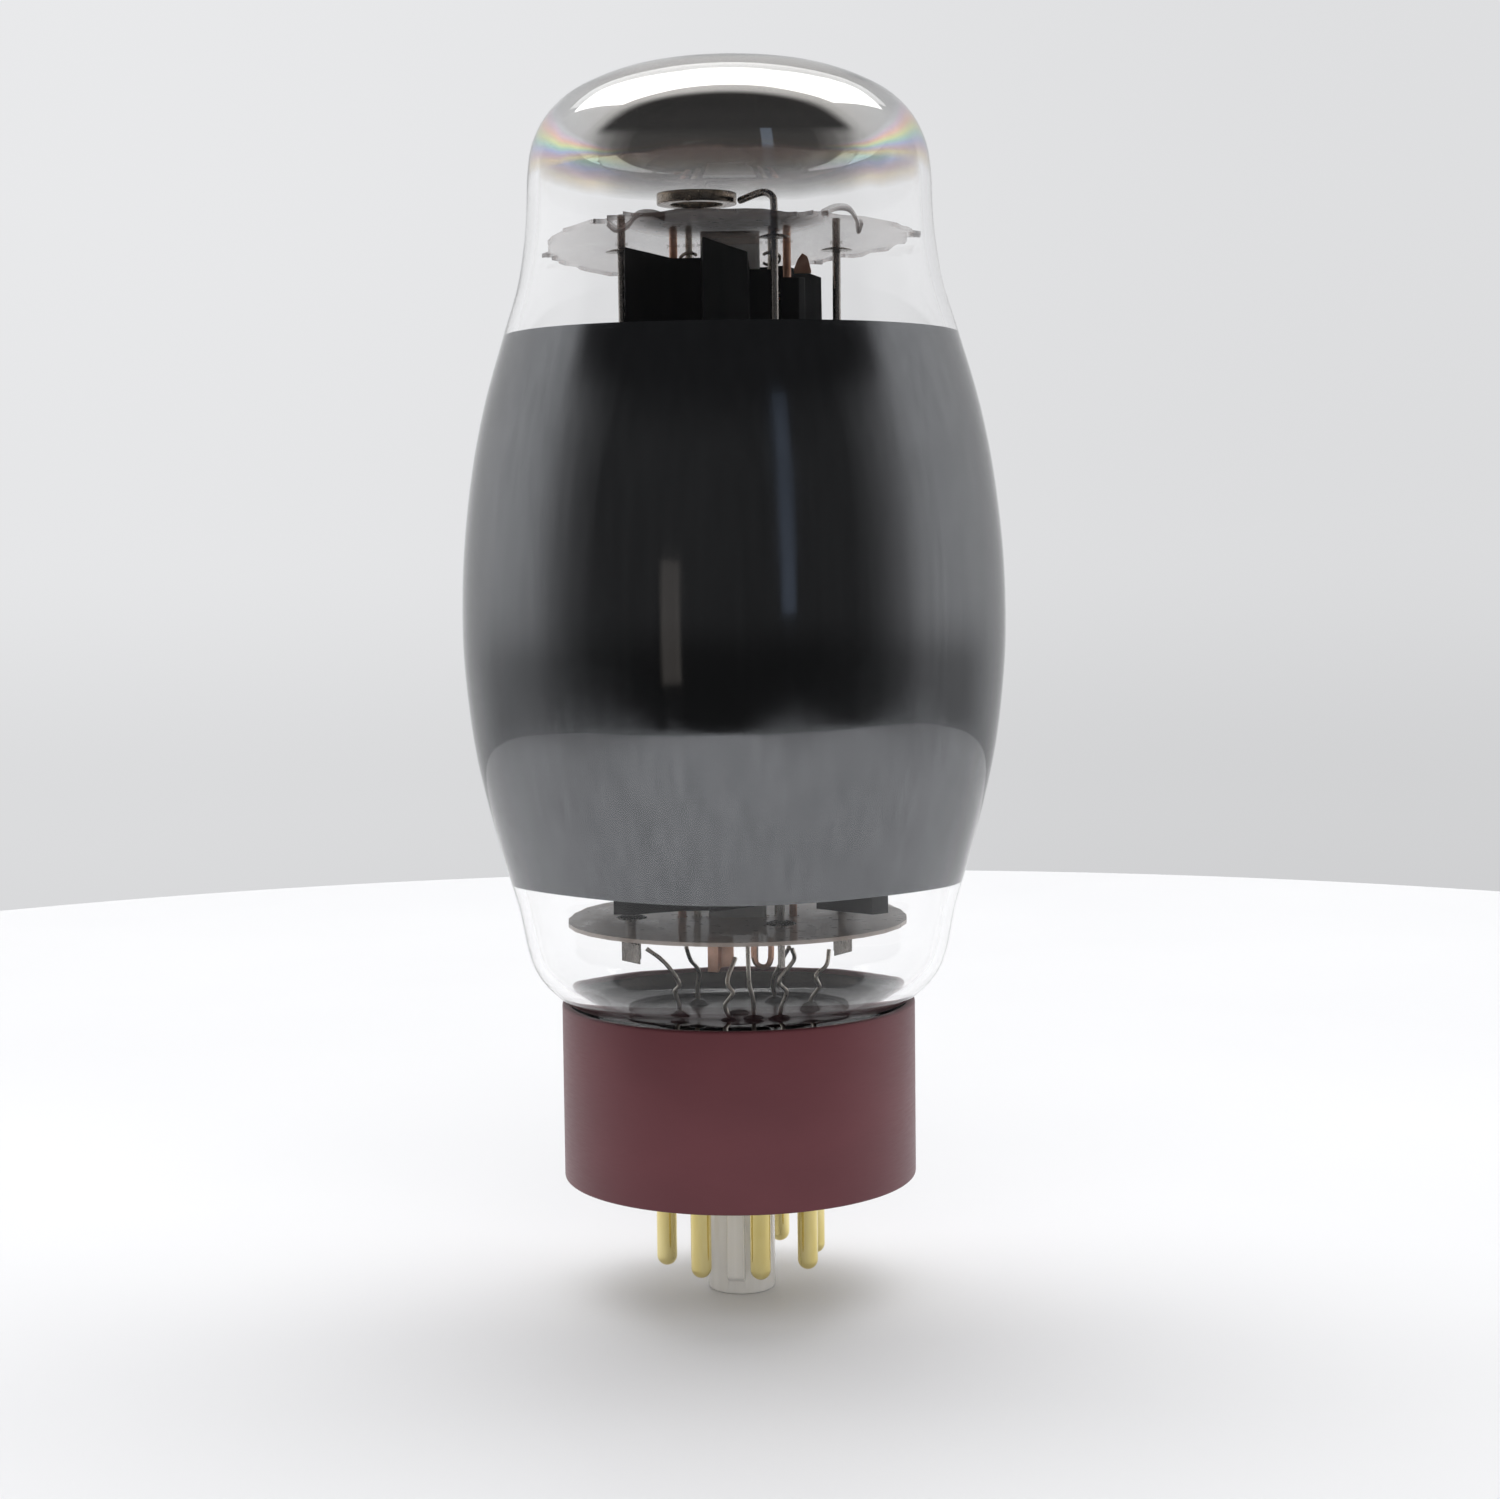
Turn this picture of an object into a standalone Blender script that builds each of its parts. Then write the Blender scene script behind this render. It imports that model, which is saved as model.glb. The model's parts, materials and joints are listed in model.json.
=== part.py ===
"""A glass power valve (beam tetrode) on an eight-way base with seven contact pins and a locating key.

Every piece that comes apart on the bench, and every electrode inside the glass, is an object of its own.
Sizes are in millimetres and turned into metres where a mesh is made. Z is up, and Z 0 is the end of
the locating spigot, so heights above the seating plane are given by seat(height).
"""

import math

import bmesh
import bpy
from mathutils import Vector

# Driving dimensions, millimetres
SPIGOT_LENGTH = 14.2          # below the wafer that carries the pins
WAFER_RECESS = 0.8            # the wafer sits this far inside the sleeve
SLEEVE_RADIUS = 20.0
SLEEVE_HEIGHT = 19.9
SLEEVE_WALL = 0.9
BARREL_RADIUS = 30.35         # widest point of the glass
GLASS_WALL = 1.2
PIN_CIRCLE_RADIUS = 8.725
PIN_RADIUS = 1.15
PIN_LENGTH = 11.1             # below the wafer
PIN_PITCH = 45.0              # degrees
KEY_ANGLE = -8.3              # degrees from -Y towards +X
GAP = 0.3                     # between pieces that touch
STEM_TOP = 16.6               # heights above the seating plane from here on
BOTTOM_MICA = 29.0
TOP_MICA = 104.2              # at its middle
TOP_MICA_SLOPE = (0.03, -0.06)  # it sits askew: rise towards +X and towards +Y
MICA_THICKNESS = 0.45
ANODE_FOOT = 30.6
ANODE_WING_TOP = 91.0
COATING_BOTTOM = 33.8
COATING_TOP = 94.2
GETTER_FILM_EDGE = 112.6
GETTER_HEIGHT = 108.7

PIN_NUMBERS = (1, 2, 3, 4, 5, 7, 8)   # place 6 is left empty
ROUND = 32                            # sides of a large round piece
SMALL_ROUND = 14
TINY_ROUND = 8

# Outer line of the glass from the stem seal to the top of the dome: radius, height above the seat
GLASS_LINE = (
    (13.3, 16.2), (15.8, 17.2), (18.3, 19.4), (20.9, 21.3), (22.7, 23.4), (23.7, 26.0), (24.6, 30.6),
    (25.8, 34.8), (27.7, 41.9), (29.2, 48.9), (30.1, 56.6), (BARREL_RADIUS, 63.0), (30.05, 70.7), (29.0, 79.5),
    (27.4, 87.2), (25.2, 94.6), (23.6, 99.8), (22.8, 104.4), (22.45, 108.0), (22.3, 112.0), (21.7, 115.4),
    (20.0, 118.5), (17.0, 121.0), (11.8, 123.1), (5.8, 124.05), (0.0, 124.3),
)

# Places of the upright rods and grid side rods, seen from above
SIDE_ROD = (11.9, 2.3)
END_ROD = (4.8, -8.0)
SIDE_ROD_RADIUS = 0.45
END_ROD_RADIUS = 0.4
SCREEN_GRID = (6.3, 1.75)     # places of the side rods in X, half depth of the winding in Y
SCREEN_ROD_RADIUS = 0.45
CONTROL_GRID = (4.55, 1.15)
CONTROL_ROD_RADIUS = 0.38
CATHODE = (3.5, 0.62)
BEAM_PLATE_X = 8.1
# Where each lead comes up through the glass stem
LEAD_BEADS = {
    1: (1.7, -4.4), 2: (4.7, -5.2), 3: (8.4, 1.5), 4: (4.2, 6.6), 5: (-4.8, 5.2), 7: (-6.8, -2.0), 8: (-1.1, -7.0),
}


def seat(height):
    """Height above the end of the spigot of a height above the seating plane."""
    return height + SPIGOT_LENGTH - WAFER_RECESS


def on_circle(radius, degrees):
    """A point at an angle from -Y, counted towards +X."""
    angle = math.radians(degrees)
    return radius * math.sin(angle), -radius * math.cos(angle)


def pin_angle(number):
    """The key lies midway between pins 1 and 8."""
    return KEY_ANGLE + (number - 0.5) * PIN_PITCH


def metres(point):
    return Vector(point) * 0.001


def material(name, colour, roughness, metallic=0.0, transmission=0.0):
    made = bpy.data.materials.new(name)
    made.use_nodes = True
    shader = made.node_tree.nodes["Principled BSDF"]
    shader.inputs["Base Color"].default_value = (*colour, 1.0)
    shader.inputs["Roughness"].default_value = roughness
    shader.inputs["Metallic"].default_value = metallic
    shader.inputs["Transmission Weight"].default_value = transmission
    return made


def clear_scene():
    for obj in list(bpy.data.objects):
        bpy.data.objects.remove(obj)


def add_object(name, mesh, look, smooth=True):
    mesh.materials.append(look)
    if smooth:
        mesh.shade_smooth()
        mesh.set_sharp_from_angle(angle=math.radians(35))
    obj = bpy.data.objects.new(name, mesh)
    bpy.context.scene.collection.objects.link(obj)
    return obj


def mesh_of(name, bm):
    bmesh.ops.recalc_face_normals(bm, faces=bm.faces)
    mesh = bpy.data.meshes.new(name)
    bm.to_mesh(mesh)
    bm.free()
    return mesh


def turned_mesh(name, profile, sides=ROUND, centre=(0.0, 0.0)):
    """A closed profile of (radius, z) turned about an upright axis."""
    bm = bmesh.new()
    points = [bm.verts.new(metres((centre[0] + radius, centre[1], z))) for radius, z in profile]
    edges = [bm.edges.new((a, b)) for a, b in zip(points, points[1:])]
    if profile[0][0] > 0 or profile[-1][0] > 0:
        edges.append(bm.edges.new((points[-1], points[0])))
    bmesh.ops.spin(
        bm, geom=points + edges, cent=metres((*centre, 0)), axis=(0, 0, 1),
        angle=2 * math.pi, steps=sides, use_merge=True,
    )
    bmesh.ops.remove_doubles(bm, verts=bm.verts, dist=1e-6)
    return mesh_of(name, bm)


def turned(name, profile, look, sides=ROUND, centre=(0.0, 0.0)):
    return add_object(name, turned_mesh(name, profile, sides, centre), look)


def smooth_path(points, steps):
    """Catmull-Rom points through the given ones."""
    ends = [2 * Vector(points[0]) - Vector(points[1]), 2 * Vector(points[-1]) - Vector(points[-2])]
    knots = [ends[0], *map(Vector, points), ends[1]]
    path = []
    for before, start, end, after in zip(knots, knots[1:], knots[2:], knots[3:]):
        for step in range(steps):
            t = step / steps
            path.append(
                0.5 * (2 * start + (end - before) * t + (2 * before - 5 * start + 4 * end - after) * t * t
                       + (3 * start - before - 3 * end + after) * t ** 3)
            )
    return path + [Vector(points[-1])]


def wire(name, points, radius, look, sides_level=1):
    """A round wire along the points, with closed ends."""
    curve = bpy.data.curves.new(name, "CURVE")
    curve.dimensions = "3D"
    curve.bevel_depth = radius * 0.001
    curve.bevel_resolution = sides_level
    curve.use_fill_caps = True
    spline = curve.splines.new("POLY")
    spline.points.add(len(points) - 1)
    for place, point in zip(spline.points, points):
        place.co = (*metres(point), 1.0)
    curve.materials.append(look)
    obj = bpy.data.objects.new(name, curve)
    bpy.context.scene.collection.objects.link(obj)
    return obj


def circle(radius, sides, centre=(0.0, 0.0)):
    angles = [2 * math.pi * i / sides for i in range(sides)]
    return [(centre[0] + radius * math.cos(angle), centre[1] + radius * math.sin(angle)) for angle in angles]


def stadium(half_length, half_width, sides_of_end=5):
    """A slot outline with round ends, long in X."""
    outline = []
    for side in (1, -1):
        for i in range(sides_of_end + 1):
            angle = math.radians(-90 + 180 * i / sides_of_end)
            outline.append((
                side * (half_length - half_width + half_width * math.cos(angle)),
                side * half_width * math.sin(angle),
            ))
    return outline


def cut_plate_mesh(name, outline, holes, low, high):
    """A flat plate between two heights, with holes through it."""
    bm = bmesh.new()
    edges = []
    for loop in (outline, *holes):
        verts = [bm.verts.new(metres((x, y, low))) for x, y in loop]
        edges += [bm.edges.new(pair) for pair in zip(verts, verts[1:] + verts[:1])]
    filled = bmesh.ops.triangle_fill(bm, edges=edges, use_beauty=True, use_dissolve=False)
    faces = [item for item in filled["geom"] if isinstance(item, bmesh.types.BMFace)]
    raised = bmesh.ops.extrude_face_region(bm, geom=faces)
    top = [item for item in raised["geom"] if isinstance(item, bmesh.types.BMVert)]
    bmesh.ops.translate(bm, verts=top, vec=metres((0, 0, high - low)))
    return mesh_of(name, bm)


def folded_sheet(name, columns, thickness, look):
    """Sheet metal folded along upright lines. Each column is (x, y, foot, head)."""
    plan = [Vector(column[:2]) for column in columns]
    bm = bmesh.new()
    rows = []
    for i, (x, y, foot, head) in enumerate(columns):
        into = (plan[i] - plan[i - 1]).normalized() if i else None
        out = (plan[i + 1] - plan[i]).normalized() if i < len(plan) - 1 else None
        along = ((into or out) + (out or into)).normalized()
        half = Vector((-along.y, along.x)) * thickness / 2
        half /= max(0.5, along.dot(into or out))
        rows.append([
            bm.verts.new(metres((x + side * half.x, y + side * half.y, z)))
            for side, z in ((1, foot), (-1, foot), (-1, head), (1, head))
        ])
    for a, b in zip(rows, rows[1:]):
        for i in range(4):
            bm.faces.new((a[i], b[i], b[(i + 1) % 4], a[(i + 1) % 4]))
    bm.faces.new(rows[0])
    bm.faces.new(rows[-1][::-1])
    return add_object(name, mesh_of(name, bm), look, smooth=False)


def glass_samples():
    """The outer line of the glass as a smooth run of points, and the inner line one wall inside it."""
    path = smooth_path([(r, z, 0.0) for r, z in GLASS_LINE], 1)
    outer = [(max(0.0, p.x), seat(p.y)) for p in path]
    outer[-1] = (0.0, outer[-1][1])
    inner = []
    for i, (r, z) in enumerate(outer):
        before, after = outer[max(i - 1, 0)], outer[min(i + 1, len(outer) - 1)]
        slope = Vector((after[0] - before[0], after[1] - before[1])).normalized()
        inner.append((max(0.0, r - slope.y * GLASS_WALL), z + slope.x * GLASS_WALL))
    inner[-1] = (0.0, outer[-1][1] - GLASS_WALL)
    return outer, inner


def glass_radius(line, z):
    for (r0, z0), (r1, z1) in zip(line, line[1:]):
        if z0 <= z <= z1:
            return r0 + (r1 - r0) * (z - z0) / (z1 - z0)
    return 0.0


def film_between(line, low, high, thickness, steps):
    """A closed profile for a thin layer lying just inside the glass between two heights."""
    heights = [low + (high - low) * i / steps for i in range(steps + 1)]
    face = [(glass_radius(line, z) - GAP, z) for z in heights]
    return face + [(r - thickness, z) for r, z in reversed(face)]


def make_envelope(look):
    outer, inner = glass_samples()
    turned("glass_envelope", outer + inner[::-1], look)
    return inner


def make_films(inner, graphite, getter):
    turned("graphite_coating", film_between(inner, seat(COATING_BOTTOM), seat(COATING_TOP), 0.3, 5), graphite)
    edge = seat(GETTER_FILM_EDGE)
    dome = [(r, z) for r, z in inner if z > edge]
    face = [(glass_radius(inner, edge), edge), *dome]
    outside = []
    inside = []
    for i, (r, z) in enumerate(face):
        before, after = face[max(i - 1, 0)], face[min(i + 1, len(face) - 1)]
        slope = Vector((after[0] - before[0], after[1] - before[1])).normalized()
        outside.append((max(0.0, r - slope.y * GAP), z + slope.x * GAP))
        inside.append((max(0.0, r - slope.y * 2 * GAP), z + slope.x * 2 * GAP))
    top = face[-1][1]
    outside[-1] = (0.0, top - GAP)
    inside[-1] = (0.0, top - 2 * GAP)
    turned("getter_film", outside + inside[::-1], getter)


def make_stem(glass):
    """The glass button that closes the bulb: a disc with a bead round each lead and a central pumping hole."""
    top, low = seat(STEM_TOP), seat(STEM_TOP - 1.9)
    edge = 12.9
    hole = 1.3
    profile = [(hole, low), (edge - 0.5, low), (edge, low + 0.5), (edge, top - 0.5), (edge - 0.5, top), (hole, top)]
    stem = turned("glass_stem", profile, glass)
    for number in PIN_NUMBERS:
        centre = LEAD_BEADS[number]
        bead = [(0.0, top - 0.6), (1.5, top - 0.6), (1.15, top + 0.6), (0.85, top + 1.1), (0.0, top + 1.1)]
        bore = [(0.0, low - 1), (0.66, low - 1), (0.66, top + 2), (0.0, top + 2)]
        for label, shape, operation in (("bead", bead, "UNION"), ("bore", bore, "DIFFERENCE")):
            mesh = turned_mesh(f"{label}_{number}", shape, TINY_ROUND, centre)
            tool = bpy.data.objects.new(f"stem_{label}_{number}", mesh)
            bpy.context.scene.collection.objects.link(tool)
            tool.hide_render = True
            tool.display_type = "WIRE"
            change = stem.modifiers.new(f"{label}_{number}", "BOOLEAN")
            change.operation = operation
            change.object = tool
    tube_top, tube_tip = low - GAP, seat(-9.0)
    turned(
        "exhaust_tube",
        [(0.0, tube_tip), (1.2, tube_tip + 0.5), (2.1, tube_tip + 2.4), (2.1, tube_top), (1.3, tube_top),
         (1.3, tube_tip + 3.2), (0.6, tube_tip + 2.2), (0.0, tube_tip + 2.0)],
        glass, SMALL_ROUND,
    )


def make_base(anodised, insulator, cement):
    outer, inner = SLEEVE_RADIUS, SLEEVE_RADIUS - SLEEVE_WALL
    foot, head = seat(0), seat(SLEEVE_HEIGHT)
    lip, edge = 1.1, 0.25
    turned(
        "base_sleeve",
        [(inner - lip, foot), (outer - edge, foot), (outer, foot + edge), (outer, head - edge),
         (outer - edge, head), (inner + edge, head), (inner, head - edge), (inner, foot + 0.5),
         (inner - lip, foot + 0.5)],
        anodised, 48,
    )
    glass = glass_samples()[0]
    rim = [(r + GAP, z - GAP) for r, z in glass if z < seat(19.0)]
    turned(
        "base_cement",
        [(13.3, seat(9.0)), (inner - GAP, seat(9.0)), (inner - GAP, seat(19.2)), *reversed(rim),
         (13.3, rim[0][1] - 0.4)],
        cement,
    )
    make_wafer(insulator, inner)


def make_wafer(insulator, sleeve_inner):
    """The insulating disc with its hollow spigot, a locating key down the spigot, and a hole for each pin."""
    under, top = seat(WAFER_RECESS), seat(WAFER_RECESS + 3.4)
    spigot, bore, floor = 3.85, 2.7, 1.3
    rim = sleeve_inner - GAP
    profile = [
        (0.0, 0.0), (spigot - 0.35, 0.0), (spigot, 0.35), (spigot, under), (rim, under), (rim, top),
        (bore, top), (bore, floor), (0.0, floor),
    ]
    wafer = turned("base_wafer", profile, insulator)
    key_reach, key_width = 4.9, 2.0
    angle = math.radians(KEY_ANGLE)
    bm = bmesh.new()
    corners = [(-key_width / 2, 3.2), (key_width / 2, 3.2), (key_width / 2, key_reach), (-key_width / 2, key_reach)]
    turned_corners = []
    for across, out in corners:
        turned_corners.append((
            out * math.sin(angle) + across * math.cos(angle),
            -out * math.cos(angle) + across * math.sin(angle),
        ))
    low = [bm.verts.new(metres((x, y, 1.0 if i < 2 else 2.0))) for i, (x, y) in enumerate(turned_corners)]
    high = [bm.verts.new(metres((x, y, under + 1.0))) for x, y in turned_corners]
    bm.faces.new(low)
    bm.faces.new(high)
    for i in range(4):
        bm.faces.new((low[i], low[(i + 1) % 4], high[(i + 1) % 4], high[i]))
    key = bpy.data.objects.new("key_block", mesh_of("key_block", bm))
    tools = [(key, "UNION")]
    for number in PIN_NUMBERS:
        centre = on_circle(PIN_CIRCLE_RADIUS, pin_angle(number))
        radius = PIN_RADIUS + GAP
        mesh = turned_mesh(
            f"pin_hole_{number}", [(0.0, under - 1), (radius, under - 1), (radius, top + 1), (0.0, top + 1)],
            SMALL_ROUND, centre,
        )
        tools.append((bpy.data.objects.new(f"pin_hole_{number}", mesh), "DIFFERENCE"))
    for tool, operation in tools:
        bpy.context.scene.collection.objects.link(tool)
        tool.hide_render = True
        tool.display_type = "WIRE"
        change = wafer.modifiers.new(tool.name, "BOOLEAN")
        change.operation = operation
        change.object = tool


def make_pins(gold):
    """Hollow pins with round ends, each with a flange that rests on the wafer."""
    under, top = seat(WAFER_RECESS), seat(WAFER_RECESS + 3.4)
    tip = under - PIN_LENGTH
    r, bore = PIN_RADIUS, 0.72
    round_end = [(r * math.sin(math.radians(a)), tip + r - r * math.cos(math.radians(a))) for a in (0, 30, 60, 90)]
    profile = [
        *round_end, (r, top + GAP), (r + 0.65, top + GAP), (r + 0.65, top + GAP + 0.5), (bore, top + GAP + 0.5),
        (bore, tip + 2.0), (0.0, tip + 1.6),
    ]
    for number in PIN_NUMBERS:
        turned(f"pin_{number}", profile, gold, SMALL_ROUND, on_circle(PIN_CIRCLE_RADIUS, pin_angle(number)))


def rod_places():
    x, y = SIDE_ROD
    u, v = END_ROD
    return {
        "left_anode_rod": (-x, -y, SIDE_ROD_RADIUS), "right_anode_rod": (x, y, SIDE_ROD_RADIUS),
        "front_support_rod": (u, v, END_ROD_RADIUS), "rear_support_rod": (-u, -v, END_ROD_RADIUS),
    }


def mica_holes():
    """Round holes for the rods and grid rods, a slot for the cathode."""
    clear = 0.25
    holes = [circle(r + clear, TINY_ROUND, (x, y)) for x, y, r in rod_places().values()]
    for half_width, radius in ((SCREEN_GRID[0], SCREEN_ROD_RADIUS), (CONTROL_GRID[0], CONTROL_ROD_RADIUS)):
        holes += [circle(radius + clear, TINY_ROUND, (side * half_width, 0.0)) for side in (-1, 1)]
    return holes + [stadium(CATHODE[0] + clear - 0.1, CATHODE[1] + clear - 0.1)]


def toothed_rim(radius, reach, groups, teeth):
    """A round rim with groups of small pointed teeth that bear on the glass."""
    outline = []
    for group in range(groups):
        start = 360.0 * group / groups
        for step in range(4):
            outline.append(on_circle(radius, start - 180.0 / groups + step * 90.0 / groups))
        for tooth in range(teeth):
            middle = start + (tooth - (teeth - 1) / 2) * 5.0 + 90.0 / groups * 1.6
            outline += [on_circle(radius, middle - 1.6), on_circle(reach, middle), on_circle(radius, middle + 1.6)]
    return outline


def top_mica_height(x, y):
    """Underside of the top mica at a place in plan."""
    return seat(TOP_MICA) + TOP_MICA_SLOPE[0] * x + TOP_MICA_SLOPE[1] * y


def make_micas(mica):
    low = seat(BOTTOM_MICA)
    mesh = cut_plate_mesh("bottom_mica", circle(19.2, ROUND), mica_holes(), low, low + MICA_THICKNESS)
    add_object("bottom_mica", mesh, mica, smooth=False)
    mesh = cut_plate_mesh("top_mica", toothed_rim(20.3, 21.2, 6, 3), mica_holes(), 0.0, MICA_THICKNESS)
    for vert in mesh.vertices:
        vert.co.z += top_mica_height(vert.co.x * 1000, vert.co.y * 1000) * 0.001
    add_object("top_mica", mesh, mica, smooth=False)


def make_rods(steel, nickel):
    for name, (x, y, radius) in rod_places().items():
        foot, head = seat(BOTTOM_MICA - 4.2), seat(TOP_MICA + 3.2)
        path = [(x, y, foot), (x, y, head)]
        if name == "front_support_rod":
            height = seat(GETTER_HEIGHT)
            bend = [(x, y, height - 1.0), (x - 0.12, y + 0.12, height - 0.2), (x - 0.7, y + 0.7, height + 0.35),
                    (x - 1.6, y + 1.6, height + 0.45), (1.2, -3.1, height + 0.1)]
            path = [(x, y, foot), *smooth_path(bend, 3)]
        wire(name, path, radius, steel, 2)
        bore, rim, thickness = radius + GAP, radius + 1.3, 0.35
        under_top = top_mica_height(x, y) - GAP - thickness
        on_bottom = seat(BOTTOM_MICA) + MICA_THICKNESS + GAP
        for level, z in (("upper", under_top), ("lower", on_bottom)):
            collar = [(bore, z), (rim, z), (rim, z + 0.15), (rim - 0.3, z + thickness), (bore, z + thickness)]
            turned(f"{name}_{level}_collar", collar, nickel, TINY_ROUND, (x, y))


def make_anode(black):
    """Two folded halves. Each has a shallow channel in the middle and a wing at either end that leans outwards."""
    foot, wing = ANODE_FOOT, ANODE_WING_TOP
    window = 37.0
    front = (
        (-13.7, -5.3, foot, wing), (-11.5, -5.5, foot, wing), (-11.4, -5.5, foot, 103.6), (-6.3, -3.5, foot, 102.5),
        (-3.0, -3.5, foot, 102.5), (-2.7, -8.2, foot + 0.6, 104.3), (1.7, -4.9, foot + 0.6, 103.0),
        (1.95, -3.3, window, 101.2), (4.6, -3.15, window, 101.2), (4.7, -3.15, window, wing), (8.8, -2.95, window, wing),
        (8.9, -2.95, foot, wing), (14.8, -7.3, foot, wing), (16.5, -6.1, foot, wing),
    )
    rear = (
        (-16.5, 6.1, foot, wing), (-14.8, 7.3, foot, wing), (-8.9, 3.0, foot, wing), (-8.8, 3.0, foot, 101.2),
        (-2.1, 3.4, foot, 101.2), (-1.7, 7.2, foot, 102.6), (2.4, 6.4, foot, 102.2), (2.8, 3.5, foot, 102.0),
        (6.1, 3.2, foot, 102.2), (10.2, 7.0, foot, 101.2), (10.3, 7.1, foot, wing), (13.7, 9.0, foot, wing),
    )
    for name, columns in (("anode_front_half", front), ("anode_rear_half", rear)):
        placed = [(x, y, seat(low), seat(high)) for x, y, low, high in columns]
        folded_sheet(name, placed, 0.45, black)
    for name, side in (("left", -1), ("right", 1)):
        for level, height in (("upper", 84.0), ("lower", 40.0)):
            plan = ((9.2, 3.8), (12.6, 3.8), (13.0, 0.0), (12.6, -3.5), (11.0, -3.5))
            columns = [(side * x, side * y, seat(height), seat(height + 3.0)) for x, y in plan]
            folded_sheet(f"{name}_{level}_anode_strap", columns, 0.3, black)


def make_grid(name, half_size, rod_radius, wire_radius, turns, look):
    """Two upright side rods, and a wire wound round both of them."""
    half_width, half_depth = half_size
    foot, head = seat(BOTTOM_MICA - 2.5), seat(TOP_MICA + 2.2)
    for side_name, side in (("left", -1), ("right", 1)):
        profile = [(0.0, foot), (rod_radius, foot), (rod_radius, head), (0.0, head)]
        turned(f"{name}_{side_name}_rod", profile, look, TINY_ROUND, (side * half_width, 0.0))
    reach = half_width + rod_radius + 1.5 * GAP + wire_radius
    low, high = seat(34.0), seat(99.0)
    steps = 10
    points = []
    for i in range(turns * steps + 1):
        angle = 2 * math.pi * i / steps
        height = low + (high - low) * i / (turns * steps)
        points.append((reach * math.cos(angle), half_depth * math.sin(angle), height))
    wire(f"{name}_winding", points, wire_radius, look, 0)


def make_electrodes(copper, nickel, oxide, ceramic):
    make_grid("screen_grid", SCREEN_GRID, SCREEN_ROD_RADIUS, 0.13, 10, copper)
    make_grid("control_grid", CONTROL_GRID, CONTROL_ROD_RADIUS, 0.11, 10, nickel)
    sleeve = cut_plate_mesh(
        "cathode", stadium(CATHODE[0] - 0.2, CATHODE[1] - 0.12), [stadium(CATHODE[0] - 0.36, CATHODE[1] - 0.26)],
        seat(BOTTOM_MICA - 1.5), seat(TOP_MICA + 1.6),
    )
    add_object("cathode", sleeve, oxide)
    runs = (-2.1, -0.7, 0.7, 2.1)
    low, high = seat(36.0), seat(97.0)
    path = [(runs[0], 0, seat(BOTTOM_MICA - 5.0))]
    for i, x in enumerate(runs):
        level = high if i % 2 == 0 else low
        if i == len(runs) - 1:
            break
        middle = (x + runs[i + 1]) / 2
        turn = 0.7 if i % 2 == 0 else -0.7
        path += [(x, 0, level), (x + 0.2, 0, level + turn * 0.7), (middle, 0, level + turn),
                 (runs[i + 1] - 0.2, 0, level + turn * 0.7), (runs[i + 1], 0, level)]
    path.append((runs[-1], 0, seat(BOTTOM_MICA - 5.0)))
    wire("heater", path, 0.2, ceramic, 1)
    x = BEAM_PLATE_X
    for name, side in (("left_beam_plate", -1), ("right_beam_plate", 1)):
        plan = ((x - 2.6, -2.3), (x - 0.6, -2.3), (x, -1.6), (x, 1.6), (x - 0.6, 2.3), (x - 2.6, 2.3))
        columns = [(side * px, py, seat(32.4), seat(100.4)) for px, py in plan]
        folded_sheet(name, columns, 0.25, nickel)
    fin = ((0.8, 101.6), (1.2, 102.6), (1.7, 103.3), (2.3, 102.9), (2.7, 101.3))
    columns = [(SCREEN_GRID[0] + dx, 0.0, seat(101.0), seat(top)) for dx, top in fin]
    folded_sheet("screen_radiator", columns, 0.25, copper)


def make_grid_rings(nickel):
    """A ring hung askew round the top of each control grid rod, open towards the cathode."""
    reach, wire_radius = 1.05, 0.18
    for name, side in (("left_grid_ring", -1), ("right_grid_ring", 1)):
        x, height = side * (CONTROL_GRID[0] - 0.05), 102.7
        lean = math.radians(38)
        points = []
        for step in range(19):
            angle = math.radians(40 + 280 * step / 18)
            across, along = -side * reach * math.cos(angle), reach * math.sin(angle)
            points.append((x + across, along * math.cos(lean), seat(height) - along * math.sin(lean)))
        wire(name, points, wire_radius, nickel, 0)


def make_connections(nickel, copper):
    """Crimped clips on the feet of the anode rods, and the straps that hang under the bottom mica."""
    x, y = SIDE_ROD
    wrap = ((-0.95, -1.0, 24.5, 26.7), (0.95, -1.0, 25.0, 27.4), (0.95, 1.0, 25.2, 27.4), (-0.95, 1.0, 24.8, 26.6))
    for name, side in (("left_anode_clip", -1), ("right_anode_clip", 1)):
        columns = [(side * (x + dx), side * y + dy, seat(low), seat(high)) for dx, dy, low, high in wrap]
        folded_sheet(name, columns, 0.3, nickel)
    strap = ((-3.4, -2.0, 23.3), (-2.3, -2.4, 23.3), (-2.0, -1.7, 23.8), (-0.5, -2.1, 24.0))
    columns = [(px, py, seat(low), seat(27.6)) for px, py, low in strap]
    folded_sheet("cathode_strap", columns, 0.25, copper)
    loop = [(1.8, -2.0, 27.4), (1.8, -2.0, 25.0), (2.3, -2.1, 24.0), (3.2, -2.1, 23.9), (3.7, -2.0, 24.9), (3.7, -2.0, 27.4)]
    wire("heater_loop", [(px, py, seat(pz)) for px, py, pz in smooth_path(loop, 2)], 0.35, copper, 0)


def make_getter(nickel):
    """A channel-section ring that held the getter metal, open upwards."""
    z = seat(GETTER_HEIGHT)
    outer, inner, wall = 4.4, 2.9, 0.22
    profile = [
        (inner, z - 0.2), (outer, z - 0.2), (outer, z + 1.0), (outer - wall, z + 1.0), (outer - wall, z + 0.05),
        (inner + wall, z + 0.05), (inner + wall, z + 0.8), (inner, z + 0.8),
    ]
    turned("getter_ring", profile, nickel, 32, (-3.6, -2.0))


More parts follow.
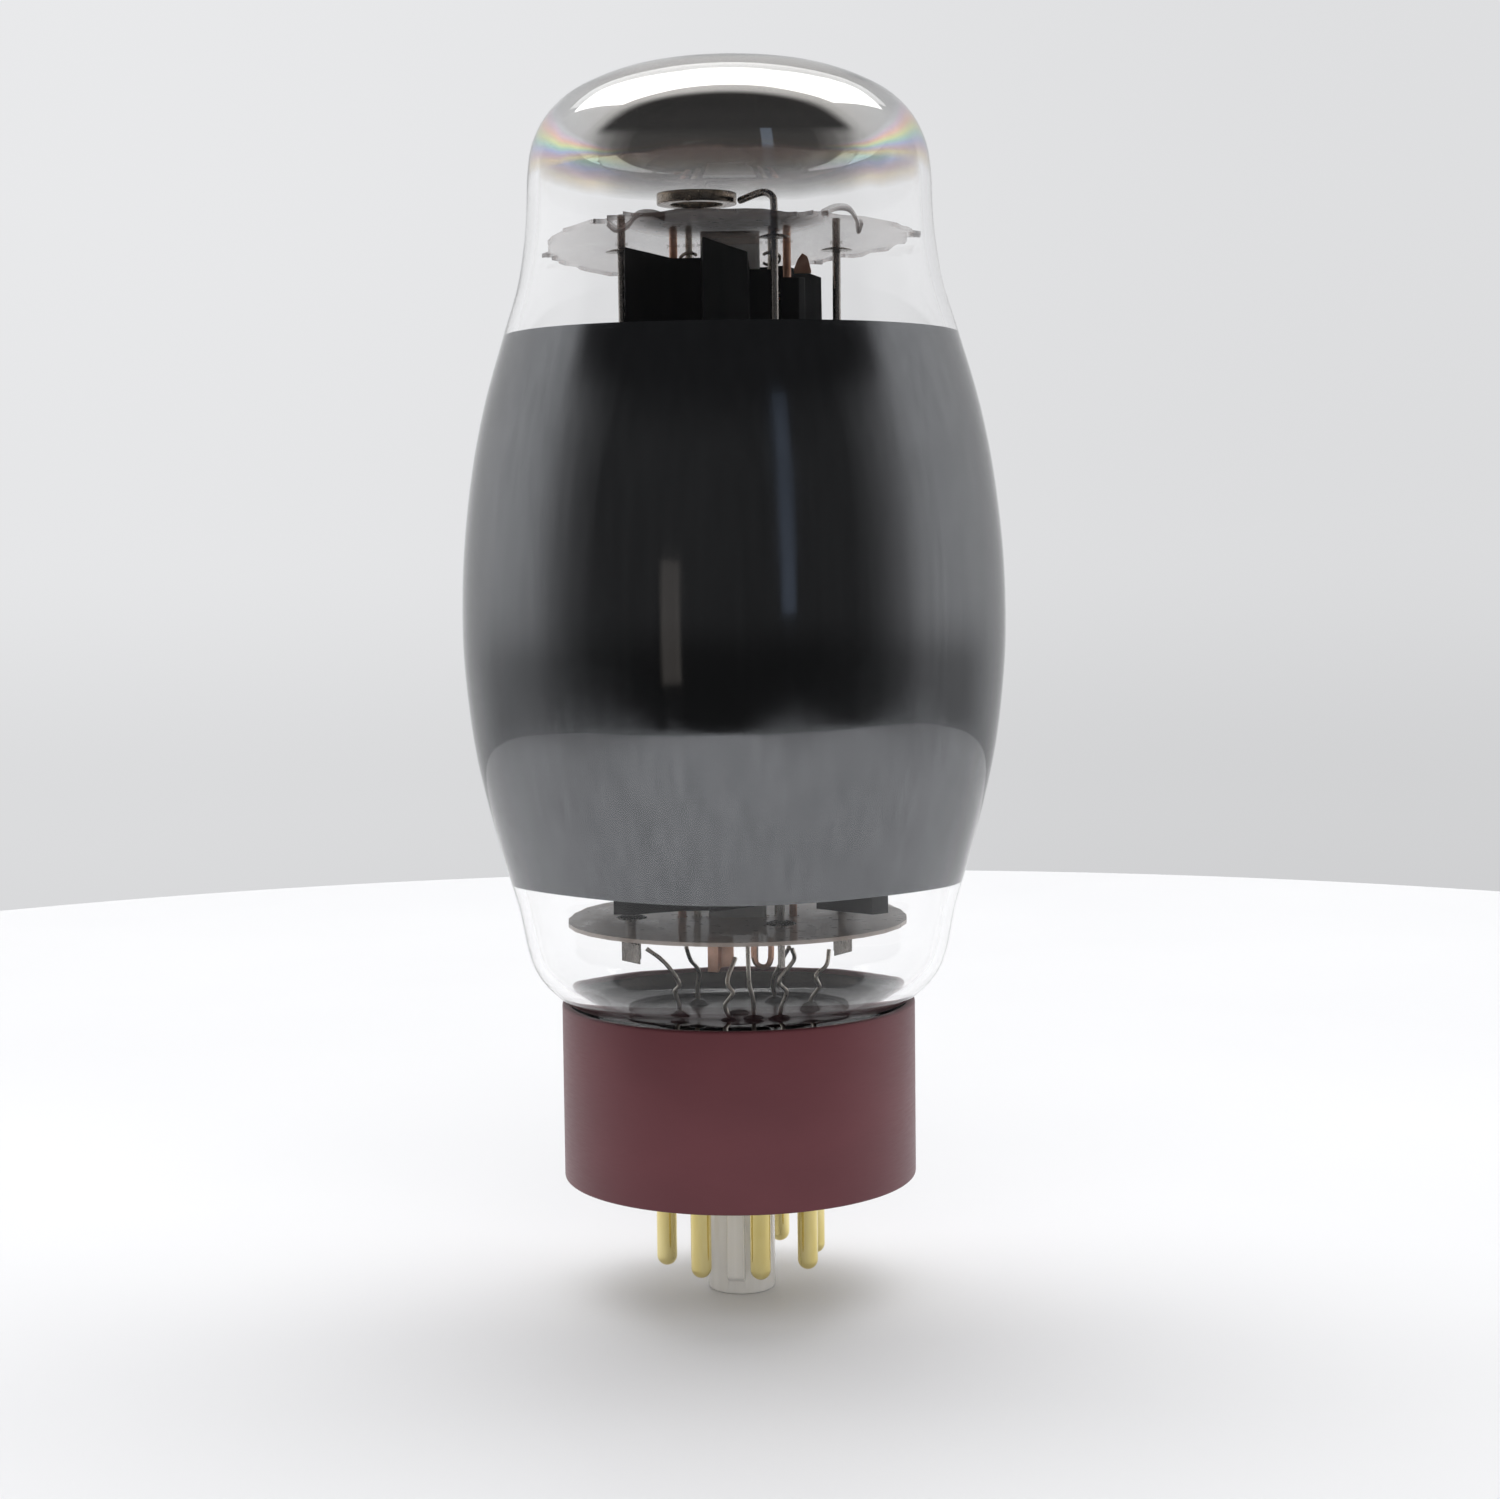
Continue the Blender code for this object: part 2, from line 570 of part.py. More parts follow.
def make_leads(nickel):
    """A wire from inside each pin, up through its bead in the stem, then in kinks to its electrode."""
    routes = {
        1: ((1.6, -4.4, 20.0), (1.2, -4.2, 22.5), (1.1, -3.6, 26.6)),
        2: ((5.4, -5.2, 21.0), (4.6, -5.2, 22.7), (6.2, -5.4, 25.2), (6.0, -6.0, 26.6)),
        3: ((9.3, 1.5, 20.3), (8.9, 1.6, 22.0), (10.1, 2.0, 23.3), (10.4, 2.2, 25.2)),
        4: ((4.0, 6.2, 20.6), (4.9, 4.6, 23.2), (5.8, 1.6, 25.6)),
        5: ((-4.8, 5.2, 20.0), (-4.6, 4.8, 22.2), (-5.5, 3.4, 23.9), (-5.9, 1.5, 25.7)),
        7: ((-7.2, -2.0, 20.6), (-6.7, -2.0, 22.0), (-8.3, -2.0, 24.5), (-10.3, -2.2, 26.2)),
        8: ((-1.5, -7.0, 19.6), (-0.6, -6.8, 21.3), (-1.2, -6.2, 22.9), (-0.3, -4.6, 25.4)),
    }
    radius = 0.27
    for number in PIN_NUMBERS:
        px, py = on_circle(PIN_CIRCLE_RADIUS, pin_angle(number))
        sx, sy = LEAD_BEADS[number]
        points = [
            (px, py, seat(8.5)), (sx, sy, seat(12.4)), (sx, sy, seat(14.6)), (sx, sy, seat(STEM_TOP + 1.4)),
            *((x, y, seat(z)) for x, y, z in routes[number]),
        ]
        wire(f"lead_{number}", [(px, py, seat(-6.0)), *smooth_path(points, 3)], radius, nickel, 1)


def main():
    clear_scene()
    glass = material("clear_glass", (0.95, 0.96, 0.96), 0.02, transmission=1.0)
    graphite = material("graphite", (0.06, 0.063, 0.068), 0.3, 0.6)
    getter = material("getter_mirror", (0.55, 0.53, 0.5), 0.08, 1.0)
    anodised = material("red_anodised_aluminium", (0.13, 0.028, 0.04), 0.38, 0.8)
    insulator = material("white_insulator", (0.75, 0.73, 0.7), 0.25)
    cement = material("black_cement", (0.012, 0.012, 0.014), 0.6)
    gold = material("gold_plate", (0.8, 0.6, 0.2), 0.2, 1.0)
    mica = material("mica", (0.45, 0.38, 0.33), 0.3)
    black = material("carbonised_nickel", (0.018, 0.018, 0.02), 0.7)
    steel = material("support_steel", (0.32, 0.3, 0.28), 0.3, 1.0)
    nickel = material("nickel", (0.5, 0.48, 0.45), 0.3, 1.0)
    copper = material("copper", (0.5, 0.22, 0.13), 0.35, 1.0)
    oxide = material("cathode_oxide", (0.8, 0.8, 0.78), 0.8)
    ceramic = material("heater_ceramic", (0.85, 0.85, 0.83), 0.7)

    inner_line = make_envelope(glass)
    make_films(inner_line, graphite, getter)
    make_stem(glass)
    make_base(anodised, insulator, cement)
    make_pins(gold)
    make_micas(mica)
    make_rods(steel, nickel)
    make_anode(black)
    make_electrodes(copper, nickel, oxide, ceramic)
    make_grid_rings(nickel)
    make_getter(nickel)
    make_connections(nickel, copper)
    make_leads(nickel)


main()
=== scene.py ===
"""Looks for the vacuum tube: fine glass and films, detailed electrodes, materials, light and camera.

Heights are in millimetres above the seating plane, which is the base sleeve's lower rim. Radii and
plan positions are in millimetres too, and point() turns them into the frame's metres.
"""

import json
import math
import random

import bmesh
import bpy
from mathutils import Matrix, Vector


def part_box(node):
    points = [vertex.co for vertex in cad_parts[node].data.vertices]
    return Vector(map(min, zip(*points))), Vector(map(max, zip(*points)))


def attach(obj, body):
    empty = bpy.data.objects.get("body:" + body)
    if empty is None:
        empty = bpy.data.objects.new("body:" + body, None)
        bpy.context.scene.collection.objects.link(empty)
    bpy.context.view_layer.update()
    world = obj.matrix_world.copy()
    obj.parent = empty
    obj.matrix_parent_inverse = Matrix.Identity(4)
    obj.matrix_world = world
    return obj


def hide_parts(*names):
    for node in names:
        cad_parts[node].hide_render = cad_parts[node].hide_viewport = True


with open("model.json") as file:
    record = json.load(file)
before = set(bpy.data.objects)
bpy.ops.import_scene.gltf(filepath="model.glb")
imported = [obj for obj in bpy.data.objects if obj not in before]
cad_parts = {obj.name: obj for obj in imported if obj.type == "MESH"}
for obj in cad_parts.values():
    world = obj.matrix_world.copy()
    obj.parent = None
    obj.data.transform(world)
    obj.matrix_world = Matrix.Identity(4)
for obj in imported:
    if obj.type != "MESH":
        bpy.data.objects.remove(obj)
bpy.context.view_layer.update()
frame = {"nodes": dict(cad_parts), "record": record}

MM = 0.001
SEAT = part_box("base_sleeve")[0][2]
ROOT = "root"
ROUND = 144                   # sides of the large turned pieces
FINE = 48                     # sides of the small ones

# Outer line of the glass from the stem seal to the top of the dome: radius, height
GLASS_LINE = (
    (13.3, 16.2), (15.8, 17.2), (18.3, 19.4), (20.9, 21.3), (22.7, 23.4), (23.7, 26.0), (24.6, 30.6),
    (25.8, 34.8), (27.7, 41.9), (29.2, 48.9), (30.1, 56.6), (30.35, 63.0), (30.05, 70.7), (29.0, 79.5),
    (27.4, 87.2), (25.2, 94.6), (23.6, 99.8), (22.8, 104.4), (22.45, 108.0), (22.3, 112.0), (21.7, 115.4),
    (20.0, 118.5), (17.0, 121.0), (11.8, 123.1), (5.8, 124.05), (0.0, 124.3),
)
GLASS_WALL = 1.2
CONTACT = 0.03                # how far a film or the cement reaches into the glass that it is bonded to
COATING_TOP = 94.2
COATING_BOTTOM = 33.8
FILM_EDGE = 111.7
SPIGOT_LENGTH = SEAT / MM     # below the seating plane
WAFER_RECESS = 0.8
PIN_LENGTH = 11.1
PIN_RADIUS = 1.15
PINS = ("pin_1", "pin_2", "pin_3", "pin_4", "pin_5", "pin_7", "pin_8")
KEY_ANGLE = -8.3              # degrees from the front towards +X
STEM_TOP = 16.6
STEM_RADIUS = 12.9
LEAD_RADIUS = 0.25
GETTER_HEIGHT = 108.7
# Where each lead comes through the stem, and its kinks from there up: x, y, height
LEAD_ROUTES = {
    1: ((1.7, -4.4), (1.6, -4.4, 20.0), (1.2, -4.2, 22.5), (1.1, -3.6, 26.6)),
    2: ((4.7, -5.2), (5.4, -5.2, 21.0), (4.6, -5.2, 22.7), (6.2, -5.4, 25.2), (6.0, -6.0, 26.6)),
    3: ((8.4, 1.5), (9.3, 1.5, 20.3), (8.9, 1.6, 22.0), (10.1, 2.0, 23.3), (10.4, 2.2, 25.2)),
    4: ((4.2, 6.6), (4.0, 6.2, 20.6), (4.9, 4.6, 23.2), (5.8, 1.6, 25.6)),
    5: ((-4.8, 5.2), (-4.8, 5.2, 20.0), (-4.6, 4.8, 22.2), (-5.5, 3.4, 23.9), (-5.9, 1.5, 25.7)),
    7: ((-6.8, -2.0), (-7.2, -2.0, 20.6), (-6.7, -2.0, 22.0), (-8.3, -2.0, 24.5), (-10.3, -2.2, 26.2)),
    8: ((-1.1, -7.0), (-1.5, -7.0, 19.6), (-0.6, -6.8, 21.3), (-1.2, -6.2, 22.9), (-0.3, -4.6, 25.4)),
}


def point(x, y, height):
    return Vector((x * MM, y * MM, SEAT + height * MM))


def middle(node):
    """The centre of a CAD node in plan, in millimetres."""
    low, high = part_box(node)
    return (low[0] + high[0]) / 2 / MM, (low[1] + high[1]) / 2 / MM


# ---------------------------------------------------------------- materials

# Each plain finish: its two tones, its two roughnesses, how its grain is stretched, the strength and
# the depth of its bump, and what else its shader is set to
FINISHES = {
    "dark_button": (
        ((0.006, 0.006, 0.008), (0.020, 0.020, 0.024)), (0.15, 0.30), (0.4, 0.4, 0.4), (0.1, 0.1),
        {"Specular IOR Level": 0.2},
    ),
    "white_insulator": (
        ((0.76, 0.74, 0.70), (0.88, 0.86, 0.83)), (0.14, 0.24), (0.9, 0.9, 0.02), (0.03, 0.02),
        {"Coat Weight": 0.4, "Coat Roughness": 0.12},
    ),
    "black_cement": (
        ((0.004, 0.004, 0.005), (0.010, 0.010, 0.012)), (0.45, 0.7), (0.3, 0.3, 0.3), (0.25, 0.15),
        {"Specular IOR Level": 0.1},
    ),
    "gold_plate": (
        ((0.78, 0.63, 0.22), (0.94, 0.82, 0.42)), (0.04, 0.08), (0.5, 0.5, 0.12), (0.06, 0.015),
        {"Metallic": 1.0},
    ),
    "carbonised_nickel": (
        ((0.014, 0.014, 0.015), (0.034, 0.034, 0.036)), (0.55, 0.75), (0.15, 0.15, 0.05), (0.2, 0.03),
        {"Specular IOR Level": 0.2},
    ),
    "support_steel": (
        ((0.20, 0.18, 0.165), (0.42, 0.39, 0.36)), (0.18, 0.34), (0.8, 0.8, 0.12), (0.05, 0.01),
        {"Metallic": 1.0},
    ),
    "nickel": (
        ((0.48, 0.44, 0.385), (0.76, 0.71, 0.63)), (0.22, 0.40), (0.6, 0.6, 0.3), (0.08, 0.01),
        {"Metallic": 1.0},
    ),
    "getter_bronze": (
        ((0.12, 0.10, 0.08), (0.30, 0.255, 0.21)), (0.16, 0.30), (0.4, 0.4, 0.4), (0.05, 0.01),
        {"Metallic": 1.0},
    ),
    "copper": (
        ((0.46, 0.25, 0.17), (0.74, 0.47, 0.36)), (0.28, 0.45), (0.5, 0.5, 0.5), (0.08, 0.01),
        {"Metallic": 1.0},
    ),
    "cathode_oxide": (
        ((0.70, 0.70, 0.68), (0.84, 0.84, 0.82)), (0.75, 0.95), (0.4, 0.4, 0.4), (0.3, 0.03), {},
    ),
    "heater_ceramic": (
        ((0.74, 0.74, 0.72), (0.88, 0.88, 0.86)), (0.65, 0.9), (0.8, 0.8, 0.8), (0.2, 0.02), {},
    ),
}
# The getter film's colour as it thickens, from its lower edge (0) to the full film (1)
FILM_TONES = (
    (0.0, (0.70, 0.66, 0.60)), (0.08, (0.72, 0.60, 0.42)), (0.18, (0.84, 0.66, 0.36)),
    (0.28, (0.66, 0.46, 0.52)), (0.38, (0.50, 0.54, 0.80)), (0.47, (0.50, 0.74, 0.66)),
    (0.56, (0.80, 0.84, 0.48)), (0.67, (0.88, 0.62, 0.50)), (0.78, (0.72, 0.58, 0.66)),
    (0.88, (0.58, 0.58, 0.60)), (1.0, (0.50, 0.50, 0.495)),
)


def new_material(name):
    made = bpy.data.materials.new(name)
    made.use_nodes = True
    return made, made.node_tree, made.node_tree.nodes["Principled BSDF"]


def feed(socket, value):
    """Gives a socket a number, a colour or another node's output."""
    if isinstance(value, bpy.types.NodeSocket):
        socket.id_data.links.new(value, socket)
    else:
        socket.default_value = (*value, 1.0) if isinstance(value, tuple) else value


def set_sockets(shader, values):
    for name, value in values.items():
        feed(shader.inputs[name], value)


def object_space(tree, stretch=(1.0, 1.0, 1.0)):
    """Object coordinates in millimetres, stretched."""
    coordinates = tree.nodes.new("ShaderNodeTexCoord")
    mapping = tree.nodes.new("ShaderNodeMapping")
    mapping.inputs["Scale"].default_value = [s / MM for s in stretch]
    feed(mapping.inputs["Vector"], coordinates.outputs["Object"])
    return mapping.outputs["Vector"]


def along(tree, axis, vector=None):
    """One coordinate of a vector, which is the place on the tube if none is given."""
    split = tree.nodes.new("ShaderNodeSeparateXYZ")
    feed(split.inputs["Vector"], object_space(tree) if vector is None else vector)
    return split.outputs[axis]


def calculate(tree, operation, *values, clamp=False):
    maths = tree.nodes.new("ShaderNodeMath")
    maths.operation = operation
    maths.use_clamp = clamp
    for socket, value in zip(maths.inputs, values):
        feed(socket, value)
    return maths.outputs["Value"]


def measure(tree, operation, vector, other=(0.0, 0.0, 0.0)):
    """A number worked out from a vector, and from a second, fixed one where the operation needs it."""
    maths = tree.nodes.new("ShaderNodeVectorMath")
    maths.operation = operation
    feed(maths.inputs[0], vector)
    maths.inputs[1].default_value = other
    return maths.outputs["Value"]


def rescale(tree, value, start, end, low=0.0, high=1.0, smooth=False):
    """Turns the stretch of a value from start to end into one from low to high."""
    scale = tree.nodes.new("ShaderNodeMapRange")
    scale.interpolation_type = "SMOOTHSTEP" if smooth else "LINEAR"
    sockets = {"Value": value, "From Min": start, "From Max": end, "To Min": low, "To Max": high}
    set_sockets(scale, sockets)
    return scale.outputs["Result"]


def mix(tree, factor, first, second, kind="RGBA", blend="MIX"):
    """Two colours mixed, or two numbers where the kind is FLOAT."""
    mixer = tree.nodes.new("ShaderNodeMix")
    mixer.data_type = kind
    mixer.blend_type = blend
    set_sockets(mixer, {"Factor": factor, "A": first, "B": second})
    return mixer.outputs["Result"]


def between(tree, factor, low, high):
    """A colour or a number that runs from low to high as the factor runs from 0 to 1."""
    if isinstance(low, tuple):
        return mix(tree, factor, low, high)
    return rescale(tree, factor, 0.0, 1.0, low, high)


def read_off(tree, value, stops, interpolation="LINEAR"):
    """A colour read off stops of (place from 0 to 1, colour)."""
    colours = tree.nodes.new("ShaderNodeValToRGB")
    elements = colours.color_ramp.elements
    colours.color_ramp.interpolation = interpolation
    for place, _ in stops[1:-1]:
        elements.new(place)
    for element, (place, colour) in zip(elements, stops):
        element.position = place
        element.color = (*colour, 1.0)
    feed(colours.inputs["Fac"], value)
    return colours.outputs["Color"]


def noise(tree, stretch, detail=4.0, span=0.5):
    """A 0 to 1 noise in object space. A wider span of the raw noise keeps it nearer its middle."""
    texture = tree.nodes.new("ShaderNodeTexNoise")
    set_sockets(texture, {"Vector": object_space(tree, stretch), "Scale": 1.0, "Detail": detail})
    return rescale(tree, texture.outputs["Fac"], 0.5 - span / 2, 0.5 + span / 2)


def add_bump(tree, shader, height, strength, depth_mm):
    bump = tree.nodes.new("ShaderNodeBump")
    set_sockets(bump, {"Strength": strength, "Distance": depth_mm * MM, "Height": height})
    feed(shader.inputs["Normal"], bump.outputs["Normal"])


def surface(name, tones, roughness, stretch, bump, sockets):
    """A material whose colour and roughness wander between two values with the grain of the surface."""
    made, tree, shader = new_material(name)
    grain = noise(tree, [6.0 * s for s in stretch], 6.0)
    set_sockets(shader, {
        "Base Color": between(tree, noise(tree, stretch), *tones),
        "Roughness": between(tree, grain, *roughness),
        **sockets,
    })
    add_bump(tree, shader, grain, *bump)
    return made


def clear_glass():
    """Clear glass, drawn with very slight waves."""
    made, tree, shader = new_material("clear_glass")
    set_sockets(shader, {
        "Base Color": (1.0, 1.0, 1.0), "Transmission Weight": 1.0, "IOR": 1.34, "Roughness": 0.0,
    })
    add_bump(tree, shader, noise(tree, (0.05, 0.05, 0.03), 2.0), 0.12, 0.4)
    return made


def graphite():
    """Polished dark film, streaked along the tube, with cloudy patches."""
    made, tree, shader = new_material("graphite")
    streaks = noise(tree, (0.9, 0.9, 0.012), 3.0)
    clouds = noise(tree, (0.07, 0.07, 0.035), 4.0, 0.35)
    set_sockets(shader, {
        "Base Color": between(tree, streaks, (0.130, 0.134, 0.140), (0.166, 0.170, 0.177)),
        "Roughness": between(tree, clouds, 0.05, 0.20),
        "Metallic": 1.0,
    })
    return made


def film_cover(tree):
    """How far the getter film has thickened: 0 at its lower edge, 1 where it is full.

    The edge is sharp at the front of the dome and spreads over some millimetres at the sides and the back.
    """
    front, inward = -19.0, -3.0
    sharp, spread = 1.2, 8.0
    wander = 0.9
    ripple = noise(tree, (0.10, 0.10, 0.02), 2.0)
    depth = rescale(tree, along(tree, "Y"), front, inward, sharp, spread, smooth=True)
    height = calculate(tree, "MULTIPLY_ADD", ripple, wander, along(tree, "Z"))
    above = calculate(tree, "SUBTRACT", height, SEAT / MM + FILM_EDGE + wander / 2)
    return calculate(tree, "DIVIDE", above, depth, clamp=True)


def getter_mirror():
    """Dark silver film whose edge thins out through rainbow and brown tones to nothing.

    The rainbow shows at the sides of the dome, and hardly at its front and back.
    """
    made, tree, shader = new_material("getter_mirror")
    plain = (0.52, 0.50, 0.47)
    start, full, least = 9.0, 18.0, 0.12
    one_side = 0.117              # share of light that one of the full film's two sides lets through
    level = film_cover(tree)
    sideways = calculate(tree, "ABSOLUTE", along(tree, "X"))
    tinted = rescale(tree, sideways, start, full, least, 1.0, smooth=True)
    clear = calculate(tree, "POWER", one_side, level)
    set_sockets(shader, {
        "Base Color": mix(tree, tinted, plain, read_off(tree, level, FILM_TONES)),
        "Alpha": between(tree, clear, 1.0, 0.0),
        "Metallic": 1.0, "Roughness": 0.03,
    })
    return made


def mica_sheet():
    """Beige flaky sheet. The lower one is darker, which is painted shade, and less clear; the upper one is
    paler and pinker, which is painted light, and has a brown patch and rim.
    """
    made, tree, shader = new_material("mica")
    clouds = noise(tree, (0.12, 0.16, 1.0), 5.0)
    flakes = noise(tree, (0.8, 0.8, 0.8), 8.0)
    lower_end, upper_end = SEAT / MM + 40.0, SEAT / MM + 90.0
    # 0 on the lower sheet and 1 on the upper: it picks between the painted shade and the painted light of the
    #                                          two sheets' tones
    lit_upper_sheet = rescale(tree, along(tree, "Z"), lower_end, upper_end)
    # A round patch near the front of the upper sheet is browned
    patch_centre, patch_edge, patch_full = (-0.5, -15.5, SEAT / MM + 105.0), 12.0, 6.5
    from_centre = measure(tree, "DISTANCE", object_space(tree), patch_centre)
    browned = rescale(tree, from_centre, patch_edge, patch_full, smooth=True)
    from_axis = measure(tree, "LENGTH", object_space(tree, (1.0, 1.0, 0.0)))
    rim_start, rim_full, rim_share = 19.9, 20.7, 0.85
    rim = rescale(tree, from_axis, rim_start, rim_full, 0.0, rim_share)
    # How brown the patch and the rim make the sheet
    brown_share = calculate(tree, "MAXIMUM", browned, rim)
    # Lit and shaded copies of the mica's tones: the upper sheet's paler, pinker ones are painted light coming
    # through it, the lower sheet's darker ones are painted shade
    plain = mix(
        tree, lit_upper_sheet,
        between(tree, clouds, (0.56, 0.45, 0.38), (0.80, 0.68, 0.59)),
        between(tree, clouds, (0.78, 0.53, 0.44), (0.92, 0.70, 0.62)),
    )
    brown = (0.11, 0.062, 0.045)
    lower_cover, upper_cover, brown_cover = 0.77, 0.24, 0.75
    cover = between(tree, lit_upper_sheet, lower_cover, upper_cover)
    set_sockets(shader, {
        "Base Color": mix(tree, brown_share, plain, brown),
        "Alpha": mix(tree, brown_share, cover, brown_cover, kind="FLOAT"),
        "Roughness": between(tree, flakes, 0.22, 0.45),
        "IOR": 1.56,
    })
    add_bump(tree, shader, flakes, 0.15, 0.03)
    return made


def anodised():
    """Dark red dyed aluminium with fine turning marks."""
    made, tree, shader = new_material("red_anodised_aluminium")
    grain = noise(tree, (0.5, 0.5, 9.0), 4.0)
    broad = noise(tree, (0.06, 0.06, 0.1), 3.0)
    set_sockets(shader, {
        "Base Color": between(tree, broad, (0.130, 0.034, 0.042), (0.158, 0.042, 0.051)),
        "Roughness": between(tree, grain, 0.42, 0.54),
        "Metallic": 0.3, "Specular IOR Level": 0.5, "Coat Weight": 0.15, "Coat Roughness": 0.35,
    })
    add_bump(tree, shader, grain, 0.06, 0.02)
    return made


def make_materials():
    return {
        "clear_glass": clear_glass(), "graphite": graphite(), "getter_mirror": getter_mirror(),
        "mica": mica_sheet(), "red_anodised_aluminium": anodised(),
        **{name: surface(name, *finish) for name, finish in FINISHES.items()},
    }


# ------------------------------------------------------------------ meshes


def catmull_rom(points, steps):
    """A smooth run of points through the given ones."""
    knots = [Vector(p) for p in points]
    knots = [2 * knots[0] - knots[1], *knots, 2 * knots[-1] - knots[-2]]
    path = []
    for before, start, end, after in zip(knots, knots[1:], knots[2:], knots[3:]):
        for step in range(steps):
            t = step / steps
            path.append(
                0.5 * (2 * start + (end - before) * t + (2 * before - 5 * start + 4 * end - after) * t * t
                       + (3 * start - before - 3 * end + after) * t ** 3)
            )
    return path + [Vector(points[-1])]


def offset_line(line, distance):
    """The line moved to its left, towards the axis, by a distance."""
    moved = []
    for i, (r, z) in enumerate(line):
        before, after = line[max(i - 1, 0)], line[min(i + 1, len(line) - 1)]
        slope = (Vector(after) - Vector(before)).normalized()
        moved.append((max(0.0, r - slope.y * distance), z + slope.x * distance))
    if line[-1][0] == 0.0:
        moved[-1] = (0.0, line[-1][1] - distance)
    return moved


def add_piece(name, mesh, look, *nodes, sharp=40.0):
    """Puts a mesh in the scene as a piece of the tube that stands for CAD nodes."""
    mesh.materials.clear()
    mesh.materials.append(looks[look])
    mesh.shade_smooth()
    mesh.set_sharp_from_angle(angle=math.radians(sharp))
    piece = bpy.data.objects.new(name, mesh)
    bpy.context.scene.collection.objects.link(piece)
    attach(piece, ROOT)
    if nodes:
        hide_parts(*nodes)
    return piece


def mesh_of(name, bm):
    bmesh.ops.recalc_face_normals(bm, faces=bm.faces)
    mesh = bpy.data.meshes.new(name)
    bm.to_mesh(mesh)
    bm.free()
    return mesh


def turned_bmesh(profile, sides, centre=(0.0, 0.0)):
    """A closed profile of (radius, height) turned about an upright axis."""
    bm = bmesh.new()
    rings = []
    for radius, height in profile:
        if radius < 1e-6:
            rings.append([bm.verts.new(point(*centre, height))])
            continue
        ring = []
        for i in range(sides):
            angle = 2 * math.pi * i / sides
            ring.append(bm.verts.new(
                point(centre[0] + radius * math.cos(angle), centre[1] + radius * math.sin(angle), height)
            ))
        rings.append(ring)
    pairs = list(zip(rings, rings[1:]))
    if profile[0][0] > 1e-6 or profile[-1][0] > 1e-6:
        pairs.append((rings[-1], rings[0]))
    for a, b in pairs:
        for i in range(sides):
            j = (i + 1) % sides
            corners = [a[i % len(a)], a[j % len(a)], b[j % len(b)], b[i % len(b)]]
            corners = [c for k, c in enumerate(corners) if c not in corners[:k]]
            if len(corners) > 2:
                bm.faces.new(corners)
    return bm


def turned(name, profile, look, *nodes, sides=FINE, centre=(0.0, 0.0), sharp=40.0):
    mesh = mesh_of(name, turned_bmesh(profile, sides, centre))
    return add_piece(name, mesh, look, *nodes, sharp=sharp)


def rounded(profile, radius, steps=3):
    """A closed profile with its corners rounded, where it leaves the axis alone."""
    result = []
    count = len(profile)
    for i, corner in enumerate(profile):
        corner = Vector(corner)
        before, after = Vector(profile[i - 1]), Vector(profile[(i + 1) % count])
        if corner.x < 1e-6:
            result.append(tuple(corner))
            continue
        into, out = before - corner, after - corner
        reach = min(radius, into.length * 0.45, out.length * 0.45)
        start, end = corner + into.normalized() * reach, corner + out.normalized() * reach
        for step in range(steps + 1):
            t = step / steps
            result.append(tuple(start * (1 - t) ** 2 + corner * 2 * t * (1 - t) + end * t * t))
    return result


def node_bmesh(node):
    """A copy of a CAD node's mesh with its split corners joined again."""
    bm = bmesh.new()
    bm.from_mesh(frame["nodes"][node].data)
    bmesh.ops.remove_doubles(bm, verts=bm.verts, dist=2e-6)
    bmesh.ops.dissolve_limit(bm, angle_limit=math.radians(0.5), verts=bm.verts, edges=bm.edges)
    return bm


def bevelled(node, name, look, width):
    """A CAD sheet-metal piece with its edges broken."""
    piece = add_piece(name, mesh_of(name, node_bmesh(node)), look, node, sharp=30.0)
    bevel = piece.modifiers.new("edges", "BEVEL")
    bevel.width = width * MM
    bevel.segments = 2
    bevel.limit_method = "ANGLE"
    bevel.angle_limit = math.radians(25)
    return piece


# ------------------------------------------------------- glass and its films


def glass_lines():
    outer = [(max(0.0, p.x), p.y) for p in catmull_rom([(r, z, 0.0) for r, z in GLASS_LINE], 5)]
    widest = max(r for r, z in GLASS_LINE)
    outer = [(min(r, widest), z) for r, z in outer]
    outer[-1] = GLASS_LINE[-1]
    return outer, offset_line(outer, GLASS_WALL)


def radius_at(line, height):
    for (r0, z0), (r1, z1) in zip(line, line[1:]):
        if min(z0, z1) <= height <= max(z0, z1) and z0 != z1:
            return r0 + (r1 - r0) * (height - z0) / (z1 - z0)
    return 0.0


def make_glass():
    outer, inner = glass_lines()
    turned("glass_bulb", outer + inner[::-1], "clear_glass", "glass_envelope", sides=ROUND, sharp=60.0)
    make_coating(inner)
    make_getter_film(inner)


def make_coating(inner):
    """A thin film on the inside of the glass. Its edges wave a little, and the lower one rises in front."""
    rows, thickness, rise = 60, 0.12, 0.5
    bm = bmesh.new()
    rng = random.Random(4)
    waves = [(rng.uniform(0.05, 0.16), rng.randint(2, 5), rng.uniform(0, 6.3)) for _ in range(4)]
    outside, inside = [], []
    for row in range(rows + 1):
        t = row / rows
        for ring, inset in ((outside, -CONTACT), (inside, thickness)):
            verts = []
            for i in range(ROUND):
                angle = 2 * math.pi * i / ROUND
                wave = sum(a * math.sin(k * angle + p) for a, k, p in waves)
                low = COATING_BOTTOM + rise * max(0.0, -math.sin(angle)) + wave
                height = low + (COATING_TOP + 0.25 * wave - low) * t
                radius = radius_at(inner, height) - inset
                verts.append(bm.verts.new(point(radius * math.cos(angle), radius * math.sin(angle), height)))
            ring.append(verts)
    loops = outside + inside[::-1]
    for a, b in zip(loops, loops[1:] + loops[:1]):
        for i in range(ROUND):
            j = (i + 1) % ROUND
            bm.faces.new((a[i], a[j], b[j], b[i]))
    add_piece("inner_coating", mesh_of("inner_coating", bm), "graphite", "graphite_coating", sharp=60.0)


